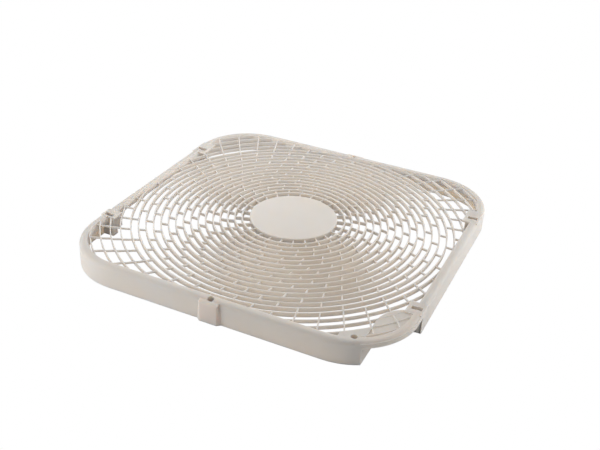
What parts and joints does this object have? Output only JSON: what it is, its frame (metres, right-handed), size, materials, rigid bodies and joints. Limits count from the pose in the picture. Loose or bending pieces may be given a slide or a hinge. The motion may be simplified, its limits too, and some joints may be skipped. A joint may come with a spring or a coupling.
{
  "type": "fan guard",
  "caption": "Square fan guard with rounded corners: closed hub, concentric rings, staggered swept ribs and a deep skirt with screw bosses and clip slots.",
  "frame": {"origin": "under the middle of the hub, level with the skirt's lower edge", "axes": "+Z out of the grille's face along the fan axis, +Y towards the back edge boss, +X towards the right side"},
  "size_m": [0.47, 0.474, 0.0315],
  "materials": {
    "plastic": "fine mould texture, warm light grey"
  },
  "bodies": {
    "root": {"fan_guard": "plastic"}
  },
  "joints": []
}
